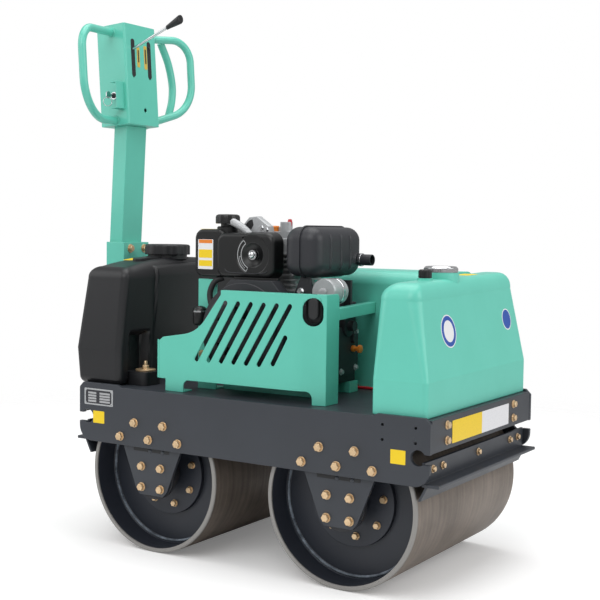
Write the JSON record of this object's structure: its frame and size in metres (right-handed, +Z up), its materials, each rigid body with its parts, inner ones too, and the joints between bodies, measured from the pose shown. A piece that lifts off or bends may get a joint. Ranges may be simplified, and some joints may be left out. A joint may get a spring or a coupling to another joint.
{
  "type": "walk-behind tandem vibratory roller",
  "caption": "Walk-behind double-drum vibratory roller with open diesel engine, water tank, front tank, slotted engine guard and a folding handle with control console and grip loops.",
  "frame": {"origin": "on the ground under the middle of the overall length, on the machine's centre plane", "axes": "+X forward, towards the front tank; +Y to the machine's left; +Z up"},
  "size_m": [1.2768, 0.636, 1.5243],
  "materials": {
    "charcoal_paint": "satin",
    "dark_iron": "matte",
    "drum_steel": "worn",
    "black_plastic": "moulded",
    "green_paint": "gloss",
    "chrome": "polished",
    "cast_aluminium": "cast",
    "black_sheet": "satin",
    "red_cable": "satin",
    "lever_black": "satin"
  },
  "bodies": {
    "chassis": {"right_side_plate": "charcoal_paint", "left_side_plate": "charcoal_paint", "front_panel": "charcoal_paint", "rear_panel": "charcoal_paint", "deck": "charcoal_paint", "cross_beam": "charcoal_paint", "front_right_bracket": "charcoal_paint", "front_left_bracket": "charcoal_paint", "rear_right_bracket": "charcoal_paint", "rear_left_bracket": "charcoal_paint", "front_scraper": "charcoal_paint", "rear_scraper": "charcoal_paint", "front_right_axle": "dark_iron", "front_left_axle": "dark_iron", "rear_right_axle": "dark_iron", "rear_left_axle": "dark_iron", "front_spray_bar": "black_plastic", "rear_spray_bar": "black_plastic", "oil_cap": "black_plastic", "water_tank": "black_plastic", "water_cap": "black_plastic", "tank_feet": "black_plastic", "air_cleaner": "black_plastic", "front_tank": "green_paint", "side_cover": "green_paint", "guard": "green_paint", "guard_upright": "green_paint", "cross_rail": "green_paint", "engine_bed": "green_paint", "handle_mount": "green_paint", "fuel_cap": "chrome", "battery_lead": "red_cable", "crankcase": "cast_aluminium", "cylinder": "cast_aluminium", "rocker_cover": "cast_aluminium", "starter_motor": "cast_aluminium", "fan_shroud": "black_sheet", "recoil_starter": "black_sheet", "muffler": "black_sheet"},
    "front_drum": {"front_drum": "drum_steel"},
    "rear_drum": {"rear_drum": "drum_steel"},
    "handle": {"handle_post": "green_paint", "console": "green_paint", "right_grip": "green_paint", "left_grip": "green_paint", "travel_lever": "lever_black", "switch_guard": "green_paint", "key_switch": "chrome"}
  },
  "joints": [
    {"name": "front_drum_roll", "type": "hinge", "parent": "chassis", "child": "front_drum", "pos_m": [0.36839, 0, 0.213], "axis": [0, 1, 0], "continuous": true},
    {"name": "rear_drum_roll", "type": "hinge", "parent": "chassis", "child": "rear_drum", "pos_m": [-0.22161, 0, 0.213], "axis": [0, 1, 0], "continuous": true},
    {"name": "handle_fold", "type": "hinge", "parent": "chassis", "child": "handle", "pos_m": [-0.59561, 0, 0.56], "axis": [0, -1, 0], "range_deg": [0, 72]}
  ]
}
